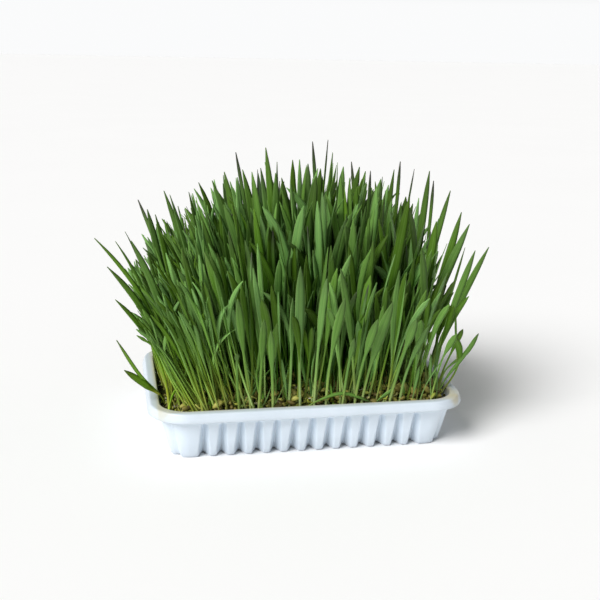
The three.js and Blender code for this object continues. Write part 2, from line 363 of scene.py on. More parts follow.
def shrunk(inset, z, shares):
    """Flat rings that shrink towards the middle of the tray."""
    for share in shares:
        ring = outline(inset, z)
        ring[:, :2] *= share
        yield ring


FOOT_ROUND = 1.6
EDGE_ROUND = 1.0
FLANGE_ROUND = 1.4
SIDE_HEIGHTS = (3, 4.5, 6, 8, 10, 12, 14, 16, 18, 19.5, 20.5, 21.3, 22, 22.5, 22.9, 23.15, 23.3, 24, 25.5,
                27.5, 30.5)
ARCH_TOP = 12.0  # the arches fade out up to this height
CENTRE = RIM_CORNER - 0.1  # the inset of the rings that shrink towards the middle


def tray_profile():
    """The tray's section as rings, from the middle of its underside round to the middle of its floor."""
    foot = ARCH_HEIGHT * smoothstep(ARCH[1], ARCH[0], FLUTE_OFF) * np.minimum(FLUTE_STRENGTH * 1.5, 1)
    reach = INSET_BASE + FOOT_REACH
    under = TRAY_HEIGHT - SHEET
    floor = FOOT_HEIGHT + SHEET
    inner = INSET_TOP + SHEET - EDGE_ROUND
    path = [(reach + 1.3, FOOT_HEIGHT),
            *((reach + 0.9 * (1 - sine), FOOT_HEIGHT + (foot - FOOT_HEIGHT) * fall) for sine, fall in arc(4)),
            (reach - 0.3, foot), (INSET_BASE + FLUTE_DEPTH[0] + FOOT_ROUND + 0.2, foot)]
    for sine, fall in arc(6):
        z = FOOT_ROUND * fall
        path.append((wall(z) + FOOT_ROUND * (1 - sine), foot * (1 - z / LIP_HEIGHT) + z))
    path += [
        *((wall(z), z + foot * max(0.0, 1 - z / ARCH_TOP)) for z in SIDE_HEIGHTS),
        (INSET_TOP - 0.25, under - 0.3), (INSET_TOP - 0.9, under), (RIM_FLARE + 1.9, under),
        (RIM_FLARE + SHEET + 0.15, under - 0.4), (RIM_FLARE + SHEET - 0.1, under - 1.4),
        (SHEET, LIP_HEIGHT + 0.35), (SHEET - 0.2, LIP_HEIGHT), (0.2, LIP_HEIGHT),
        (0, LIP_HEIGHT + 0.4), (RIM_FLARE * 0.5, TRAY_HEIGHT - 2.8),
        *((RIM_FLARE + FLANGE_ROUND * fall, TRAY_HEIGHT - FLANGE_ROUND * (1 - sine))
          for sine, fall in arc(5)),
        (3.4, TRAY_HEIGHT), (4.8, TRAY_HEIGHT),
        *((inner + EDGE_ROUND * sine, TRAY_HEIGHT - EDGE_ROUND * fall) for sine, fall in arc(4)),
        *((wall(z, SHEET), z) for z in reversed(SIDE_HEIGHTS) if floor + 2 < z < TRAY_HEIGHT - 1.5),
        (wall(floor, SHEET), floor + 1.2), (wall(floor, SHEET + 1.2), floor),
    ]
    return [*shrunk(CENTRE, FOOT_HEIGHT, (0.35, 0.7)), *(outline(inset, z) for inset, z in path),
            *shrunk(CENTRE, floor, (1.0, 0.7, 0.35))]


# Painted shade by the share of the tray's height: how bright the plastic is drawn, darker towards the feet
# and on the flange.
TRAY_PAINTED_SHADE = (0.0, 0.66), (0.12, 0.78), (0.35, 0.9), (0.7, 1.0), (0.825, 1.0), (0.84, 0.8)
RIM_TINT_AND_SHADE = 0.66, 0.58, 0.32  # the colour of the yellowish tint along the rim's inner edge and of the painted shade at its front right corner


def tray_look():
    look = Look("white_plastic", Roughness=0.36, IOR=1.46)
    place = look.place()
    haze = look.noise(place, 45.0)
    base = look.ramp(haze, [(0.3, (0.71, 0.8, 0.89)), (0.7, (0.77, 0.86, 0.95))])
    level = look.tint()[0]
    speckle = look.noise(place, 90.0, 2.0)
    # A yellowish tint along the rim's inner edge, and painted shade at its front right corner.
    base = look.mix(base, RIM_TINT_AND_SHADE, look.times(level, look.plus(speckle, 0.2), clamp=True))
    # Painted shade: the plastic is darkened by height, towards the feet and on the flange.
    height = look.math("DIVIDE", look.parts(place)["Z"], TRAY_HEIGHT * MM)
    painted_shade = look.ramp(height, [(at, (value,) * 3) for at, value in TRAY_PAINTED_SHADE])
    peel = look.noise(place, 900.0, 1.0)
    look.finish(Base_Color=look.tinted(base, painted_shade), Normal=look.bump(peel, 0.03, 0.5))
    return look


def make_tray():
    points, faces, bake = skinned(tray_profile(), (0, 0, FOOT_HEIGHT), (0, 0, FOOT_HEIGHT + SHEET))
    x, y, z = points.T
    inward = np.min(RIM_HALF - abs(points[:, :2]), 1)
    # The rim's inner edge gets a yellowish tint, and its front right corner a warm painted shade.
    near_edge = smoothstep(4.2, 6.6, inward) * smoothstep(TRAY_HEIGHT - 9, TRAY_HEIGHT - 1, z)
    corner = smoothstep(84, 98, x) * smoothstep(-40, -52, y) * smoothstep(LIP_HEIGHT, TRAY_HEIGHT, z)
    rim_tint_and_shade = np.clip(0.75 * near_edge + 0.7 * corner, 0, 1)
    piece = new_mesh("tray_shell", points, faces, tray_look(), np.repeat(rim_tint_and_shade[:, None], 3, 1), bake_uv=bake)
    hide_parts("tray")


make_tray()


# ---- the soil

def noise_at(points, scale, seed):
    """Smooth noise from -1 to 1 at points in millimetres; scale is the size of its features."""
    return np.array([noise.noise(Vector((x / scale + seed, y / scale - seed, z / scale)))
                     for x, y, z in points])


def soil_look():
    look = Look("potting_soil", Roughness=0.9, Specular_IOR_Level=0.25)
    place = look.place()
    clods = look.noise(place, 420.0, 6.0, 0.7)
    colour = look.ramp(clods, [(0.3, (0.008, 0.006, 0.003)), (0.5, (0.035, 0.022, 0.009)),
                               (0.62, (0.09, 0.06, 0.02)), (0.8, (0.2, 0.14, 0.05))])
    moss = look.ramp(look.noise(place, 130.0, 4.0), [(0.5, BLACK), (0.64, WHITE)])
    colour = look.mix(colour, (0.07, 0.1, 0.012), look.times(moss, 0.85))
    look.finish(Base_Color=colour, Normal=look.bump(clods, 1.0, 0.9))
    return look


SOIL_RINGS = 34
SOIL_GAP = 0.8  # between the soil's side and the wall's inner face
SOIL_FLUTE_GAP = 1.6  # how much wider the flutes are in the soil's side
SOIL_LUMPS = (16.0, 0.0, 1.3), (4.5, 3.0, 0.9), (1.6, 7.0, 0.45)  # how wide, the seed, how high


def make_soil():
    """The soil, with every second sample of the tray's outline, and a lumpy top."""
    low = SOIL_LOW[2]
    rings = [outline(CENTRE, low)[::2], outline(wall(low, SHEET + 2 * SOIL_GAP, SOIL_FLUTE_GAP), low)[::2]]
    rings += [outline(wall(z, SHEET + SOIL_GAP, SOIL_FLUTE_GAP), z)[::2] for z in SIDE_HEIGHTS
              if low + 1 < z < SOIL_TOP - 0.4]
    edge = outline(wall(SOIL_TOP, SHEET + SOIL_GAP), SOIL_TOP)[::2]
    for share in np.linspace(1, 0, SOIL_RINGS, endpoint=False):
        ring = edge * (share, share, 1)
        lift = sum(noise_at(ring, size, seed) * high for size, seed, high in SOIL_LUMPS)
        ring[:, 2] += lift * (1 - 0.6 * smoothstep(0.97, 1.0, share)) + 0.8 * smoothstep(0.9, 1.0, share)
        rings.append(ring)
    points, faces, bake = skinned(rings, (0, 0, low), (0, 0, SOIL_TOP))
    piece = new_mesh("soil_surface", points, faces, soil_look(), bake_uv=bake)
    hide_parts("soil_bed")


make_soil()


# ---- leaves

FLAT_SECTION = np.array([(-1, 0), (-0.35, 0.5), (0.35, 0.5), (1, 0), (0.35, -0.5), (-0.35, -0.5)])
ROUND_SECTION = np.array([(-cos(k * pi / 3), sin(k * pi / 3)) for k in range(6)])
ACROSS = np.array([0.0, 0.33, 0.67, 1.0, 0.67, 0.33])  # each corner's place across the leaf
SECTION = len(FLAT_SECTION)
STRIP_GUTTER = 0.08  # at each side of a leaf's strip of the map, as a share of the strip
POLE_DROP = 0.015  # how far the ends of a leaf lie beyond its strip
BLADE_THICKNESS = 0.3
STEM_RADIUS = 0.85
TIP_WIDTH = 0.6


class LeafBundle:
    """Collects leaves and stems and turns them into one piece."""

    def __init__(self):
        self.points, self.quads, self.fans = [], [], []
        self.tints, self.uv, self.islands = [], [], []
        self.count = 0

    def add(self, spine, facing, half_width, opened, fold, tint, shade, stem):
        """One closed leaf along a spine.

        At each ring its upper side looks along facing; opened is 0 for a round stem and 1 for a flat blade,
        fold is the rise of its edges as a share of the half width, and shade its place on the colour scale.
        """
        rings = len(spine)
        tangent = unit(np.gradient(spine, axis=0))
        normal = unit(facing - tangent * np.sum(facing * tangent, 1, keepdims=True))
        side = np.cross(tangent, normal)
        flat, round_share = opened[:, None], 1 - opened[:, None]
        across = (FLAT_SECTION[:, 0] * flat + ROUND_SECTION[:, 0] * round_share) * half_width[:, None]
        lift = FLAT_SECTION[:, 1] * flat * BLADE_THICKNESS + ROUND_SECTION[:, 1] * round_share * stem
        lift = lift + abs(FLAT_SECTION[:, 0]) * flat * (fold * half_width)[:, None]
        body = spine[:, None] + side[:, None] * across[:, :, None] + normal[:, None] * lift[:, :, None]
        ends = [spine[:1] - tangent[:1] * 0.3, spine[-1:] + tangent[-1:] * 0.4]
        self.points.append(np.vstack([body.reshape(-1, 3), *ends]))
        index = self.count + np.arange(rings * SECTION).reshape(rings, SECTION)
        after = np.roll(index, -1, 1)
        self.quads.append(np.stack([index[:-1], index[1:], after[1:], after[:-1]], -1).reshape(-1, 4))
        foot, tip = (np.full(SECTION, self.count + rings * SECTION + end) for end in (0, 1))
        self.fans += [np.stack([foot, index[0], after[0]], 1), np.stack([tip, after[-1], index[-1]], 1)]
        uv = np.column_stack([np.tile(ACROSS, rings), np.repeat(shade, SECTION)])
        self.uv.append(np.vstack([uv, [(0.5, shade[0]), (0.5, shade[-1])]]))
        self.tints.append(np.tile(tint, (rings * SECTION + 2, 1)))
        self.islands.append(rings)
        self.count += rings * SECTION + 2

    def bake_map(self):
        """The map of all leaves, each of them unrolled in a strip of its own."""
        strips = len(self.islands)
        gutter = STRIP_GUTTER / strips
        quads, fans = [], []
        for number, rings in enumerate(self.islands):
            column = number / strips + gutter + np.arange(SECTION + 1) / SECTION * (1 / strips - 2 * gutter)
            row = MAP_MARGIN + (1 - 2 * MAP_MARGIN) * np.arange(rings) / (rings - 1)
            poles = row[0] - POLE_DROP, row[-1] + POLE_DROP
            quad, *fan = unrolled(column, row, poles, ((0, 0), (0, 1), (1, 1), (1, 0)),
                                  ((0.5, 0, 1), (0.5, 1, 0)))
            quads.append(quad)
            fans += fan
        return np.vstack(quads + fans)

    def build(self, name, look, *nodes):
        points, quads, fans, tints, uv = map(
            np.vstack, (self.points, self.quads, self.fans, self.tints, self.uv))
        piece = new_mesh(name, points, [quads, fans], look, tints, uv, self.bake_map())
        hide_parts(*nodes)


def fanned(q, z):
    """A place in the bed carried up along the fan to a height."""
    rise = max(z - MAT_TOP, 0.0)
    x, y = q + (q - FAN_CENTRE) * FAN_SHARE * (rise / FAN_HEIGHT) ** FAN_POWER
    return np.array([x + LEAN * rise, y, z])


def mounded(q, z):
    """A height raised by the mound of the mat at a place in the bed."""
    return z + MOUND * max(0.0, 1 - np.max(np.abs(q) / (PLANTED / 2 + 5)) ** 2)


def stand_height(q):
    """How tall the canopy stands above the mat at a place in the bed."""
    end, side = np.minimum(abs(q) / (PLANTED / 2), 1.05)
    end_drop = LEFT_DROP if q[0] < 0 else RIGHT_DROP
    drops = [drop * at**late for at, (drop, late) in ((end, end_drop), (side, SIDE_DROP))]
    return STAND_HEIGHT * (1 - hypot(*drops))


def bed_outline(margin):
    """Half the size of the bed and its corner radius, a margin inside the walls."""
    inset = wall_inset(MAT_TOP) + SHEET + margin
    return RIM_HALF - inset, RIM_CORNER - inset


ROOT_MARGIN = 3.5  # between the shoots' roots and the wall at the bed's corners


def off_the_wall(root):
    """A root moved inwards from the bed's rounded corners."""
    half, corner = bed_outline(ROOT_MARGIN)
    over = np.maximum(abs(root) - (half - corner), 0)
    kept = min(1.0, corner / max(np.hypot(*over), 1e-6))
    return np.sign(root) * (np.minimum(abs(root), half - corner) + over * kept)


def foot_at(root):
    """Where the shoot of a root starts, just above the soil."""
    return np.array([*root, SOIL_TOP + 0.5])


def any_turn():
    return uniform(0, 2 * pi)


def level(spread):
    """A random offset in the level plane."""
    return gauss(0, spread, 3) * (1, 1, 0)


def tip_droop():
    return abs(gauss(0, 0.045))


def blade_outline(u, widest):
    """A blade's width along it, from its collar at 0 to its tip at 1, as a share of the widest."""
    rise = 0.26 + 0.74 * smoothstep(0.0, widest, u)
    fall = (1 - np.clip((u - widest) / (1 - widest), 0, 1) ** 3) ** 0.85
    return rise * fall


def leaf_along(bundle, spine, t, width, facing_angle, collar=0.2, twist=0.0, widest=0.66, tint=None,
               stem=STEM_RADIUS, fold=0.22, up=0.25, shade_from=0.0):
    """A leaf along a spine whose rings lie at the given shares of its length.

    shade_from is where on the colour scale it starts: over 0 for a leaf that starts on a shoot.
    """
    angle = facing_angle + twist * t
    facing = np.column_stack([np.cos(angle), np.sin(angle), np.full(len(t), up)])
    u = np.clip((t - collar) / (1 - collar), 0, 1)
    opened = smoothstep(0.0, 0.2, u)
    half = stem * (1 - opened) + opened * width / 2 * blade_outline(u, widest)
    half = np.maximum(half, TIP_WIDTH / 2)
    shade = shade_from + (1 - shade_from) * t
    bundle.add(spine, facing, half, opened, fold * (1 - 0.5 * u), tint, shade, stem)


RING_SPACING = 0.8  # under 1, the rings crowd towards the tip


def grow(bundle, foot, tip, width, facing_angle, bow=(0.0, 0.0, 0.0), droop=0.0, rings=20, bend=1.0,
         start=None, **leaf_shape):
    """One leaf from its foot to its tip, bowed in the middle and drooping at the tip.

    With a bend over 1 it leaves its foot upright and leans out later; with a start it leaves its foot in
    that direction instead. Droop is a share of its length.
    """
    t = np.linspace(0, 1, rings) ** RING_SPACING
    reach = tip - foot
    length = np.linalg.norm(reach)
    if start is None:
        spine = foot + reach * np.column_stack([t**bend, t**bend, t])
    else:
        spine = foot + np.outer(2 * t * (1 - t), start) * length * 0.5 + np.outer(t**2, reach)
    spine += np.sin(t * pi)[:, None] * np.array(bow) * length
    away = unit(np.array([reach[0], reach[1], 0.0]) + (1e-3, 0, 0))
    spine += droop * length * np.clip((t - 0.6) / 0.4, 0, 1)[:, None] ** 2 * (away - np.array([0, 0, 0.5]))
    leaf_along(bundle, spine, t, width, facing_angle, **leaf_shape)
    return spine, t


DEEP_END = 12.0  # how much further in the painted shade starts at the tray's ends than at its sides
YELLOWER = 1.04, 0.97, 0.5
# The deeper green that leaves inside the stand are tinted with, as painted shade.
PAINTED_SHADE_GREEN = 0.2, 0.44, 0.06


def painted_shade_inside(look):
    """Painted shade: how far a point lies inside the stand and near the mat, from 0 to 1."""
    x, y, z = look.parts(look.place())
    half_x, half_y = PLANTED / 2 * MM
    inside = look.math("MINIMUM", look.minus(half_x - DEEP_END * MM, look.math("ABSOLUTE", x)),
                       look.minus(half_y, look.math("ABSOLUTE", y)))
    return look.times(look.fade(inside, -2, 20), look.fade(z, 150, 60))


def left_foot(look):
    """How near a point lies to the mat at the left end, from 0 to 1: the shoots there are the yellowest."""
    x, _, z = look.parts(look.place())
    return look.times(look.fade(x, -25, -70), look.fade(z, 90, 45))


def leaf_look():
    look = Look("wheat_leaf", IOR=1.4, Specular_IOR_Level=0.2)
    uv = look.add("UVMap", uv_map="leaf").outputs["UV"]
    across, along, _ = look.parts(uv)
    hue, value, dry = look.tint()
    fresh = look.ramp(along, [(0, (0.66, 0.67, 0.3)), (0.08, (0.46, 0.53, 0.16)),
                              (0.2, (0.3, 0.37, 0.045)), (0.34, (0.15, 0.275, 0.015)),
                              (0.6, (0.096, 0.24, 0.007)), (1, (0.085, 0.19, 0.008))])
    # The bluish colours: a second hue of the leaves, and the painted sheen of the brighter ones.
    bluish_and_sheen = look.ramp(along, [(0, (0.58, 0.64, 0.36)), (0.1, (0.34, 0.46, 0.19)),
                               (0.24, (0.2, 0.34, 0.1)), (0.5, (0.132, 0.27, 0.078)),
                               (1, (0.105, 0.22, 0.06))])
    colour = look.mix(fresh, bluish_and_sheen, hue)
    streak = look.noise(look.stretched(uv, (9.0, 0.7, 1.0)), 6.0, 2.0)
    veins = look.add("TexWave", {"Vector": look.stretched(uv, (1.0, 0.0, 0.0)), "Scale": 9.0},
                     wave_type="BANDS", bands_direction="X").outputs["Fac"]
    colour = look.mix(colour, (0.26, 0.45, 0.08), look.times(veins, 0.08))
    middle = look.math("ABSOLUTE", look.minus(across, 0.5))
    midrib = look.minus(1.0, look.times(middle, 22.0), clamp=True)
    colour = look.mix(colour, (0.32, 0.5, 0.12), look.times(midrib, 0.3))
    margin = look.times(look.minus(middle, 0.43), 16.0, clamp=True)
    colour = look.mix(colour, (0.42, 0.62, 0.22), look.times(margin, 0.45))
    withered = look.ramp(along, [(0.84, BLACK), (0.97, WHITE)])
    colour = look.mix(colour, (0.055, 0.052, 0.045), look.times(dry, withered, clamp=True))
    colour = look.mix(colour, look.tinted(colour, YELLOWER), left_foot(look))
    colour = look.scaled(colour, look.times(value, look.plus(look.times(streak, 0.5), 0.75)))
    # Painted shade: leaves inside the stand and near the mat are tinted a darker, deeper green.
    colour = look.mix(colour, look.tinted(colour, PAINTED_SHADE_GREEN), painted_shade_inside(look))
    look.finish(Base_Color=colour, Roughness=look.plus(look.times(streak, 0.2), 0.4),
                Normal=look.bump(veins, 0.06, 0.25))
    return look


leaf = leaf_look()


def leaf_tint():
    """A leaf's hue, brightness and how brown its tip is; the brighter leaves are the more bluish, which
    paints a sheen on them.
    """
    value = 0.46 + 1.1 * rng.random() ** 1.15
    hue = np.clip((value - 0.5) / 0.9 + gauss(0, 0.22), 0, 1)
    return np.array([hue, value, max(0.0, gauss(-0.25, 0.35))])


SHOOTS_PER_SIDE = 6
SHOOTS_PER_TUFT = 27
SHOOTS_AT_ENDS = 25, 19  # in the left and the right column
SHOOTS_IN_FRONT = 27, 9  # in the front row, at the left and where the leaves that stand out are added
SHOOTS_IN_SECOND = 19  # in the second row, except at the left
LEFT_COLUMNS = 3  # how many columns the left of these rows has
SECOND_LEAVES = 0.35, 0.6  # the share of the shoots with a second leaf, in the left column and elsewhere
ROLLED_SHARE = 0.05  # of the second leaves
AIM_SCATTER = np.array([8.0, 5.0])  # how far apart the shoots of one place aim
AIM_LIMIT = np.array([84.0, 56.0])
CORNER_LEAN = 8.0  # how far the shoots of the front left corner aim to the left of their roots
CORNER_BARE = 15.0  # how far from that corner's end of the bed their roots stay
SHOOT_BEND = 0.86, 1.05  # at the left, where the shoots lean at once, and at the right
FACING_FRONT = 0.72  # the share of the leaves that turn their flat side to the front

# The limits between which a shoot's measures are drawn. Each limit is its value at the left end of the bed,
# and what is added to it further right, where the leaves are broader.
EDGE_SHARE = (0.9, -0.3), (1.05, -0.05)  # the height in the front and back row, as a share of the canopy's
SHOOT_WIDTH = (2.0, 2.0), (3.9, 2.7)
SHOOT_STEM = (0.45, 0.05), (0.65, 0.15)  # the radius of its stem
STEM_LENGTH = (32, -14), (50, -8)
# The same for a second leaf that is open, and for one that is still rolled up.
SECOND_SHARE = ((0.8, -0.2), (1.0, 0)), ((0.95, 0), (1.08, 0))
SECOND_WIDTH = ((2.0, 1.2), (3.6, 2.2)), ((2.0, 0), (2.8, 0))


def drawn(limits, broad):
    return uniform(*(left + more * broad for left, more in limits))


def shoots_in(row, column):
    """How many shoots one square of the bed has."""
    if row == 0:
        return SHOOTS_IN_FRONT[column >= LEFT_COLUMNS]
    if column in (0, TUFT_COLUMNS - 1):
        return SHOOTS_AT_ENDS[column > 0]
    return SHOOTS_IN_SECOND if row == 1 and column >= LEFT_COLUMNS else SHOOTS_PER_TUFT


def grow_shoot(bundle, row, column, root):
    """A shoot with one leaf, and often with a second inside it."""
    lean = CORNER_LEAN * smoothstep(10, -50, root[0]) * smoothstep(0, -40, root[1])
    aim = np.clip(root - (lean, 0) + gauss(0, AIM_SCATTER), -AIM_LIMIT, AIM_LIMIT)
    bare = CORNER_BARE * smoothstep(-45, -88, root[0]) * smoothstep(-5, -40, root[1])
    root = off_the_wall(root + (bare, 0))
    broad = smoothstep(-60, -10, root[0])
    if row in (0, TUFT_ROWS - 1):
        share = drawn(EDGE_SHARE, broad)
    else:
        share = 1.10 - 0.03 * broad - (0.28 + 0.16 * broad) * rng.random() ** 0.9
    height = stand_height(aim) * share
    width = drawn(SHOOT_WIDTH, broad) * (0.75 + 0.25 * height / STAND_HEIGHT)
    facing = gauss(-pi / 2, 0.55) if rng.random() < FACING_FRONT else any_turn()
    collar = drawn(STEM_LENGTH, broad) / height
    spine, t = grow(bundle, foot_at(root), fanned(aim, MAT_TOP + height), width, facing, level(0.018),
                    tip_droop(), rings=16, bend=np.interp(root[0], [-60, 20], SHOOT_BEND), collar=collar,
                    twist=gauss(0, 0.5), widest=uniform(0.58, 0.78), tint=leaf_tint(),
                    stem=drawn(SHOOT_STEM, broad))
    if rng.random() >= SECOND_LEAVES[column > 0]:
        return
    k = max(1, int(np.searchsorted(t, collar * 0.9)))
    along = unit(spine[k + 1] - spine[k])
    rolled = rng.random() < ROLLED_SHARE
    aim = np.clip((root + aim) / 2 + gauss(0, 4.0, 2), -AIM_LIMIT, AIM_LIMIT)
    rise = min(height, stand_height(aim)) * drawn(SECOND_SHARE[rolled], broad)
    end = fanned(aim, MAT_TOP + max(rise, spine[k][2] - MAT_TOP + 25))
    narrow = drawn(SECOND_WIDTH[rolled], broad)
    grow(bundle, spine[k] - along * 3, end, narrow, facing + pi + gauss(0, 0.6), level(0.02),
         tip_droop(), rings=14, start=along, collar=0.03, twist=gauss(0, 0.5),
         widest=uniform(0.5, 0.75), tint=leaf_tint() + (0, 0, DRY_TIP if rolled else 0), stem=0.5,
         shade_from=0.35)


def grow_tuft(bundle, row, column):
    """The shoots of one square of the bed, and a short sprout."""
    centre = (np.array([column, row]) - (GRID - 1) / 2) * CELL
    spots = [(i, j) for j in range(SHOOTS_PER_SIDE) for i in range(SHOOTS_PER_SIDE)]
    rng.shuffle(spots)
    for spot in spots[:shoots_in(row, column)]:
        offset = ((np.array(spot) + uniform(0.1, 0.9, 2)) / SHOOTS_PER_SIDE - 0.5) * CELL
        grow_shoot(bundle, row, column, (centre + offset) * ROOT_SPREAD + ROOT_SHIFT)
    root = (centre + uniform(-0.5, 0.5, 2) * CELL) * ROOT_SPREAD + ROOT_SHIFT
    aim = np.clip(root + gauss(0, 4, 2), -AIM_LIMIT + 8, AIM_LIMIT)
    grow(bundle, foot_at(root), fanned(aim, MAT_TOP + uniform(8, 45)), uniform(1.6, 3.6), any_turn(),
         level(0.05), rings=10, collar=0.3, tint=leaf_tint() * (0.3, 1.2, 0.5))


# Leaves that stand out in the photograph: root (x, y), tip (x, y, z), width, and which way the blade
# faces, in degrees from straight to the front.
PROMINENT = (
    # the front row, from left to right
    (-66, -57, -88, -64, 98, 6, 20), (-44, -57, -48, -72, 70, 4.6, 10), (-37, -56, -48, -74, 103, 6.2, 15),
    (-33, -58, -33, -76, 91, 5.8, 10), (-24, -58, -29, -76, 84, 4.6, 0), (-14, -55, -15, -68, 101, 5.6, 5),
    (-7, -57, -12, -74, 121, 7.6, 0), (2, -55, 4, -72, 113, 5.6, -15), (9, -57, 14, -76, 102, 6.6, 0),
    (28, -55, 12, -72, 119, 7, 25), (19, -58, 21, -74, 77, 4.6, -10), (27, -57, 34, -77, 89, 6, -5),
    (31, -57, 43, -76, 99, 7.6, 0), (52, -55, 47, -73, 117, 6, 0), (49, -57, 58, -76, 88, 6.4, -5),
    (56, -57, 67, -72, 82, 5, 0),
    # the left edge
    (-85, -46, -120, -50, 118, 5.6, 25), (-86, -48, -116, -52, 99, 4.2, 30),
    (-84, -40, -127, -30, 131, 3.4, 30), (-83, -36, -115, -20, 127, 3.2, 40),
    (-80, -46, -106, -40, 131, 5.6, 15), (-82, -28, -109, -10, 131, 3.6, 60),
    # the left shoulder
    (-68, 0, -100, 20, 146, 2.4, 0), (-72, -10, -95, 0, 143, 6, 30), (-70, -28, -91, -20, 143, 5.6, 20),
    (-58, 0, -84, 10, 153, 5, 20), (-53, -10, -81, 0, 152, 5.4, 30), (-45, -18, -70, -10, 155, 5, 20),
    (-55, -50, -78, -60, 129, 6.2, 10), (-42, -47, -62, -55, 126, 5.2, 20), (-31, -50, -42, -60, 134, 6.2, 0),
    # the top
    (-33, 0, -47, 0, 166, 6.6, 0), (-26, 22, -36, 30, 175, 2.4, 0), (-17, 20, -23, 20, 165, 2.4, 40),
    (-12, 0, -21, 0, 181, 6.4, 0), (-5, 10, -12, 10, 171, 4.4, 30), (20, 16, 13, 20, 183, 2.6, 0),
    (6, 8, 21, 10, 185, 1.6, 30), (24, 0, 22, 0, 178, 5.4, 15), (40, 10, 37, 10, 171, 2.4, 0),
    (46, 10, 50, 10, 165, 2.4, 20), (54, 0, 63, 0, 167, 5.6, 10), (70, 18, 73, 20, 170, 2.6, 0),
    (68, 18, 83, 20, 165, 2.2, 30),
    # the right shoulder and edge
    (72, 0, 87, 0, 166, 5.6, 0), (82, 16, 97, 20, 157, 2.4, 0), (78, 0, 102, 0, 153, 5, -20),
    (73, -22, 103, -20, 142, 6.6, 0), (74, -30, 105, -30, 136, 6.8, -10), (79, -34, 119, -30, 121, 5.6, 0),
    (75, -44, 104, -45, 122, 5.6, -5), (80, -34, 103, -30, 121, 3.4, 40), (14, -42, 11, -50, 128, 6.6, 0),
    (23, -46, 37, -50, 130, 6.8, -15),
)
NEEDLE_WIDTH = 2.7  # under this, a leaf is still rolled up
PROMINENT_WIDTH = 0.84  # of their blades, as a share of the width in the table
DRY_TIP = 0.9  # how brown the tip of a rolled leaf is
# The limits of their hue and brightness: elsewhere, and in the front, where they are brighter and more bluish
# as painted light and sheen.
PROMINENT_TINT_AND_FRONT_LIGHT = ((0.0, 0.6), (0.6, 0.95)), ((0.5, 1.0), (0.84, 1.06))


def grow_prominent(bundle, leaf_row):
    root, tip, (width, degrees) = np.split(np.array(leaf_row, float), (2, 5))
    rolled = width < NEEDLE_WIDTH
    front = root[1] < -50 and abs(tip[0]) < 80
    # The front leaves are drawn brighter and more bluish: painted light and sheen.
    hue, value = (uniform(*limits) for limits in PROMINENT_TINT_AND_FRONT_LIGHT[front])
    bend = min(1.3 + max(0.0, -tip[0] - 80) / 35, 2.4)
    grow(bundle, foot_at(root), tip, width if rolled else width * PROMINENT_WIDTH, radians(degrees - 90),
         level(0.018), rings=24, bend=bend, collar=uniform(26, 40) / (tip[2] - MAT_TOP),
         twist=gauss(0, 0.2), widest=0.8 if rolled else uniform(0.5, 0.62),
         tint=(hue, value, DRY_TIP if rolled else 0.25))


def cell_of(root):
    """The row and column of the tuft that a place in the bed belongs to."""
    column, row = np.clip(np.floor(np.array(root) / CELL + GRID / 2), 0, GRID - 1).astype(int)
    return row, column


def make_tufts():
    for row in range(TUFT_ROWS):
        for column in range(TUFT_COLUMNS):
            bundle = LeafBundle()
            grow_tuft(bundle, row, column)
            for leaf_row in PROMINENT:
                if cell_of(leaf_row[:2]) == (row, column):
                    grow_prominent(bundle, leaf_row)
            bundle.build(f"shoots_r{row + 1}_c{column + 1}", leaf, f"tuft_r{row + 1}_c{column + 1}")


make_tufts()


# ---- shoots that stand away

def curve_through(points, t):
    """A smooth curve through a few points, at shares of its way from 0 to 1."""
    points = np.asarray(points, float)
    padded = np.vstack([[2 * points[0] - points[1]], points, [2 * points[-1] - points[-2]]])
    place = t * (len(points) - 1)
    k = np.clip(place.astype(int), 0, len(points) - 2)
    u = (place - k)[:, None]
    a, b, c, d = padded[k], padded[k + 1], padded[k + 2], padded[k + 3]
    return 0.5 * (2 * b + (c - a) * u + (2 * a - 5 * b + 4 * c - d) * u**2 + (3 * b - a - 3 * c + d) * u**3)


# For each piece the CAD node it stands for and its leaves: points along them, width, which way they face,
# where the blade starts and the radius of the stem.
STRAYS = {
    "stray_left": ("stray_shoot_left", (
        ((-86.5, -33.5, 24.5), (-91, -40, 35.5), (-103, -45, 50.4), (-116, -46, 72.8), 2.3, -1.9, 0.2, 0.6),
        ((-91.5, -40.5, 36), (-97, -44, 41), (-101, -45, 45), (-112, -46, 54), 4.4, -1.3, 0.05, STEM_RADIUS),
    )),
    "stray_right": ("stray_shoot_right", (
        ((87.5, -39, 24.5), (95.8, -45, 43), (97.5, -46, 57), (93.6, -46, 67), 4.8, -1.7, 0.35, 0.6),
        ((96.5, -45.5, 50), (95.5, -46, 60), (94.3, -46, 70), (93.4, -46, 83), 1.5, -1.7, 0.1, 0.4),
        ((87, -38, 24.5), (89.5, -44, 44), (101.7, -46, 56), (109.5, -46, 68.5), 3.4, -1.3, 0.3, 0.6),
        ((85.5, -38, 24.5), (88.5, -43, 44), (94.5, -45, 61), (99.3, -45, 71.5), 3.4, -1.9, 0.45, 0.6),
    )),
    "fallen_front": ("fallen_leaf_front", (
        ((-6, -59, 27), (2, -60, 33.5), (19, -60, 38), (36.5, -60, 31.5), 2.2, -1.57, 0.1, STEM_RADIUS),
    )),
}


def make_strays():
    t = np.linspace(0, 1, 26)
    for name, (node, leaves) in STRAYS.items():
        bundle = LeafBundle()
        for *points, width, facing, collar, stem in leaves:
            tint = np.array([uniform(0.1, 0.6), uniform(0.7, 0.95), 0.4])
            spine = curve_through(points, t)
            leaf_along(bundle, spine, t, width, facing, collar, tint=tint, stem=stem, up=0.4)
        bundle.build(name, leaf, node)


make_strays()


# ---- kernels, crumbs and roots

TUFT_NODES = [f"tuft_r{row + 1}_c{column + 1}"
              for row in range(TUFT_ROWS) for column in range(TUFT_COLUMNS)]


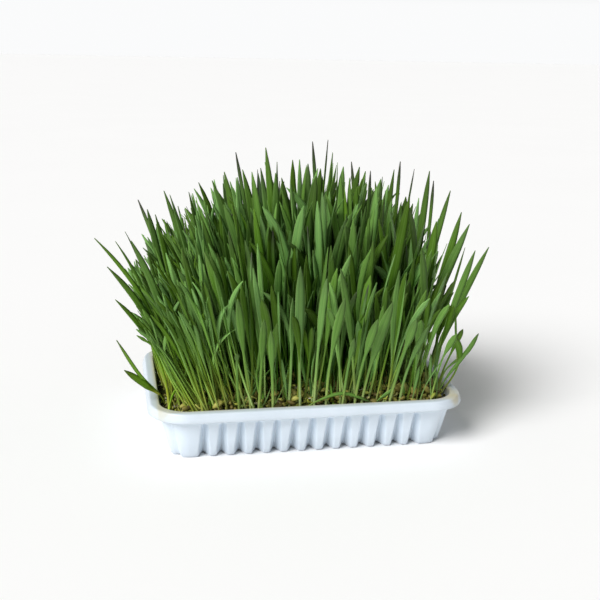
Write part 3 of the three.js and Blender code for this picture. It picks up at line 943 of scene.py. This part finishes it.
def kernel_body():
    """A wheat kernel of unit length along X: an egg with a crease along its lower side."""
    rings, around = 6, 8
    rows = []
    for i in range(1, rings):
        s = i / rings
        radius = 0.5 * sin(pi * s) ** 0.62 * (0.9 + 0.2 * s)
        angle = 2 * pi * np.arange(around) / around
        crease = 1 - 0.35 * np.exp(-((angle - 1.5 * pi) / 0.4) ** 2)
        across = radius * crease
        rows.append(np.column_stack([0.46 * across * np.cos(angle), 0.42 * across * np.sin(angle),
                                     np.full(around, s - 0.5)]))
    points, faces, bake = skinned(rows, (0, 0, -0.5), (0, 0, 0.5))
    return points[:, [2, 0, 1]], faces, bake


def crumb_body():
    """A lump of unit size."""
    around = 6
    angle = 2 * pi * np.arange(around) / around
    rows = [np.column_stack([r * np.cos(angle + r), r * np.sin(angle + r), np.full(around, z)])
            for r, z in ((0.34, -0.32), (0.5, 0.0), (0.36, 0.3))]
    return skinned(rows, (0, 0, -0.45), (0, 0, 0.42))


def in_the_bed(margin):
    """A random place in the bed, inside the rounded walls."""
    half, corner = bed_outline(margin)
    while True:
        p = uniform(-half, half)
        if np.hypot(*np.maximum(abs(p) - (half - corner), 0)) < corner:
            return p


def rotation(*turns):
    """Turns about named axes, the last of them made first."""
    product = Matrix.Identity(3)
    for axis, angle in turns:
        product @= Matrix.Rotation(angle, 3, axis)
    return product


MAP_CELL_MARGIN = 0.05  # free at each side of a copy's cell of the map, as a share of the cell


def strewn(name, body, count, size, look, slot, heights, margin, *nodes, tilt=0.35, kinds=(0, 1)):
    """Copies of a body strewn over the bed as one piece, each with a cell of the map to itself."""
    base_points, base_faces, base_uv = body
    side = ceil(sqrt(count))
    points, tints = [], []
    for _ in range(count):
        spot = in_the_bed(margin)
        turn = rotation(("Z", any_turn()), ("Y", gauss(0, tilt)), ("X", any_turn()))
        turned = (base_points * size()) @ np.array(turn).T
        points.append(turned + (*spot, mounded(spot, uniform(*heights))))
        kind, value, spare = rng.random(3)
        tint = np.interp(kind, (0, 1), kinds), value, spare
        tints.append(np.tile(tint, (len(base_points), 1)))
    copy = np.arange(count)[:, None, None]
    faces = [(group + copy * len(base_points)).reshape(-1, group.shape[1]) for group in base_faces]
    cells = np.concatenate(np.divmod(copy, side), 2)
    maps = (cells + MAP_CELL_MARGIN + (1 - 2 * MAP_CELL_MARGIN) * base_uv) / side
    maps = np.vstack([part.reshape(-1, 2) for part in np.split(maps, [base_faces[0].size], 1)])
    piece = new_mesh(name, np.vstack(points), faces, look, np.vstack(tints), bake_uv=maps)
    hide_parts(*nodes)


def grained_look(name, colours, shaded, grain, bump, **sockets):
    """A look whose colour goes by the kind of each grain, shaded by a fine noise."""
    look = Look(name, **sockets)
    kind, value, _ = look.tint()
    speck = look.noise(look.place(), *grain)
    colour = shaded(look, look.ramp(kind, colours), speck, value)
    look.finish(Base_Color=colour, Normal=look.bump(speck, *bump))
    return look


def kernel_size(length, thickness):
    """A function that draws a kernel's size between two limits each."""
    return lambda: (uniform(*length), *[uniform(*thickness)] * 2)


def crumb_size():
    return uniform(0.8, 2.4) * uniform(0.7, 1.2, 3)


LOW_SPROUTS = 90
FRONT_STRIP = -40.0  # the low sprouts stand in front of this


def make_low_sprouts():
    """Short shoots among the feet of the front row, which cross each other."""
    bundle = LeafBundle()
    while len(bundle.points) < LOW_SPROUTS:
        root = in_the_bed(FLUTE_DEPTH[1] + 1.5)
        if root[1] > FRONT_STRIP:
            continue
        foot = foot_at(root)
        tip = foot + (gauss(0, 8), gauss(-1, 3), uniform(14, 46))
        tip[1] = max(tip[1], -60.0)
        grow(bundle, foot, tip, uniform(1.1, 2.8), gauss(-pi / 2, 0.8), level(0.07), rings=10,
             collar=0.3, stem=uniform(0.3, 0.5),
             tint=(uniform(0.4, 1.0), uniform(0.7, 1.2), max(0.0, gauss(-0.2, 0.4))))
    bundle.build("low_sprouts", leaf, *TUFT_NODES[:TUFT_COLUMNS])


make_low_sprouts()
kernel = grained_look(
    "wheat_kernel",
    [(0, (0.04, 0.033, 0.008)), (0.25, (0.15, 0.125, 0.03)), (0.5, (0.36, 0.33, 0.075)),
     (0.72, (0.5, 0.5, 0.11)), (0.86, (0.3, 0.4, 0.05)), (0.93, (0.66, 0.62, 0.24)),
     (1, (0.85, 0.8, 0.5))],
    lambda look, colour, speck, value: look.mix(colour, (0.12, 0.08, 0.02), look.times(speck, 0.5)),
    grain=(700.0, 4.0), bump=(0.15, 0.6), Roughness=0.55, Specular_IOR_Level=0.35)
crumb = grained_look(
    "soil_crumb",
    [(0, (0.012, 0.01, 0.003)), (0.35, (0.04, 0.032, 0.01)), (0.6, (0.11, 0.12, 0.02)),
     (0.9, (0.19, 0.26, 0.03)), (0.95, (0.62, 0.6, 0.5)), (1, (0.75, 0.73, 0.64))],
    lambda look, colour, speck, value: look.scaled(colour, look.plus(speck, 0.5)),
    grain=(900.0, 3.0), bump=(0.3, 0.8), Roughness=0.9, Specular_IOR_Level=0.2)
moss = grained_look(
    "moss_and_rootlets",
    [(0, (0.03, 0.036, 0.007)), (0.25, (0.12, 0.14, 0.016)), (0.5, (0.3, 0.33, 0.045)),
     (0.8, (0.5, 0.52, 0.1)), (0.92, (0.62, 0.58, 0.28)), (1, (0.85, 0.83, 0.68))],
    lambda look, colour, speck, value: look.scaled(
        look.scaled(colour, look.plus(look.times(speck, 0.6), 0.7)), value),
    grain=(1200.0, 3.0), bump=(0.3, 0.7), Roughness=0.8, Specular_IOR_Level=0.2)

KERNELS, CRUMBS, SWOLLEN_KERNELS, MOSS_CURLS = 1500, 2500, 220, 1700
strewn("kernels", kernel_body(), KERNELS, kernel_size((5.6, 7.2), (5.8, 7.4)), kernel, "wheat_kernel",
       (SOIL_TOP + 0.8, MAT_TOP + 5.0), FLUTE_DEPTH[1] + 0.4, *TUFT_NODES)
strewn("crumbs", crumb_body(), CRUMBS, crumb_size, crumb, "soil",
       (SOIL_TOP + 0.4, MAT_TOP + 2.0), 1.5, "soil_bed")
strewn("swollen_kernels", kernel_body(), SWOLLEN_KERNELS, kernel_size((7.0, 8.6), (8.4, 10.4)), kernel,
       "wheat_kernel", (MAT_TOP + 3.5, MAT_TOP + 7.0), FLUTE_DEPTH[1] + 2.5, *TUFT_NODES, tilt=1.0,
       kinds=(0.38, 0.72))

MOSS_REACH = bed_outline(FLUTE_DEPTH[1] + 0.9)[0]
MOSS_PROFILE = np.array([0.5, 0.9, 1.0, 0.8, 0.4])  # how thick a curl is at each ring
ROOTLET = 0.9  # above this kind, a curl is a pale rootlet, which is shorter and thinner


def make_moss():
    """Curls of moss and pale rootlets among the kernels."""
    bundle = LeafBundle()
    rings = len(MOSS_PROFILE)
    for _ in range(MOSS_CURLS):
        spot, heading, kind = in_the_bed(FLUTE_DEPTH[1] + 0.5), any_turn(), rng.random()
        length = uniform(2.5, 7.0) * (0.6 if kind > ROOTLET else 1.0)
        middle = np.array([*spot, mounded(spot, uniform(SOIL_TOP + 2.0, MAT_TOP + 6.0))])
        along = np.array([cos(heading), sin(heading), gauss(0, 0.6)]) * length / 2
        bow = gauss(0, 0.25, (2, 3)) * length
        points = [middle - along, middle - along / 3 + bow[0], middle + along / 3 + bow[1], middle + along]
        points = np.clip(points, (*-MOSS_REACH, SOIL_TOP), (*MOSS_REACH, MAT_TOP + 20))
        thick = uniform(0.2, 0.45) if kind > ROOTLET else uniform(0.3, 0.9)
        bundle.add(curve_through(points, np.linspace(0, 1, rings)), np.tile(gauss(0, 1, 3), (rings, 1)),
                   thick * MOSS_PROFILE, np.full(rings, 0.4), np.full(rings, 0.2),
                   (kind, uniform(0.6, 1.2), 0), np.linspace(0, 1, rings), 0.7 * thick)
    bundle.build("moss", moss, *TUFT_NODES)


make_moss()


# ---- floor, light and camera

FLOOR_HALF = 40.0  # half the side of the floor, in metres


def make_floor():
    mesh = bpy.data.meshes.new("floor")
    corners = [(x * FLOOR_HALF, y * FLOOR_HALF, 0) for x, y in ((-1, -1), (1, -1), (1, 1), (-1, 1))]
    mesh.from_pydata(corners, [], [(0, 1, 2, 3)])
    floor = placed("floor", mesh)
    look = Look("pale_floor", Roughness=0.9, Specular_IOR_Level=0.1)
    cloud = look.noise(look.place(), 3.0)
    look.finish(Base_Color=look.ramp(cloud, [(0, (0.93,) * 3), (1, (0.95,) * 3)]))
    mesh.materials.append(look.owner)


SUN_FROM = Vector((-0.75, -0.59, 0.8))
SUN_STRENGTH = 3.6
SUN_SOFTNESS = radians(32)
SKY = (0.05, (0.96, 0.965, 0.97)), (0.14, (0.3, 0.305, 0.3))  # height and colour: the horizon, and above


def make_light():
    """A wide soft sun from the front left, under a sky that is palest at the horizon."""
    sky = Look("studio", bpy.data.worlds, "Background")
    height = sky.parts(sky.add("TexCoord").outputs["Generated"])["Z"]
    sky.finish(Color=sky.ramp(height, SKY))
    bpy.context.scene.world = sky.owner
    data = bpy.data.lights.new("key", "SUN")
    data.energy = SUN_STRENGTH
    data.angle = SUN_SOFTNESS
    data.color = (1.0, 0.99, 0.987)
    sun = placed("key", data)
    sun.rotation_euler = SUN_FROM.to_track_quat("Z", "Y").to_euler()


CAMERA_PLACE = (-0.1160, -0.5976, 0.2387)
CAMERA_YAW, CAMERA_PITCH, CAMERA_ROLL = (radians(a) for a in (11.24, 14.42, 1.13))
CAMERA_LENS = 57.56


def make_camera():
    data = bpy.data.cameras.new("camera")
    data.lens = CAMERA_LENS
    data.sensor_width = 36.0
    camera = placed("camera", data)
    turned = rotation(("Z", -CAMERA_YAW), ("X", pi / 2 - CAMERA_PITCH), ("Z", CAMERA_ROLL))
    camera.matrix_world = Matrix.Translation(CAMERA_PLACE) @ turned.to_4x4()
    bpy.context.scene.camera = camera


make_floor()
make_light()
make_camera()
bpy.context.scene.view_settings.view_transform = "Standard"
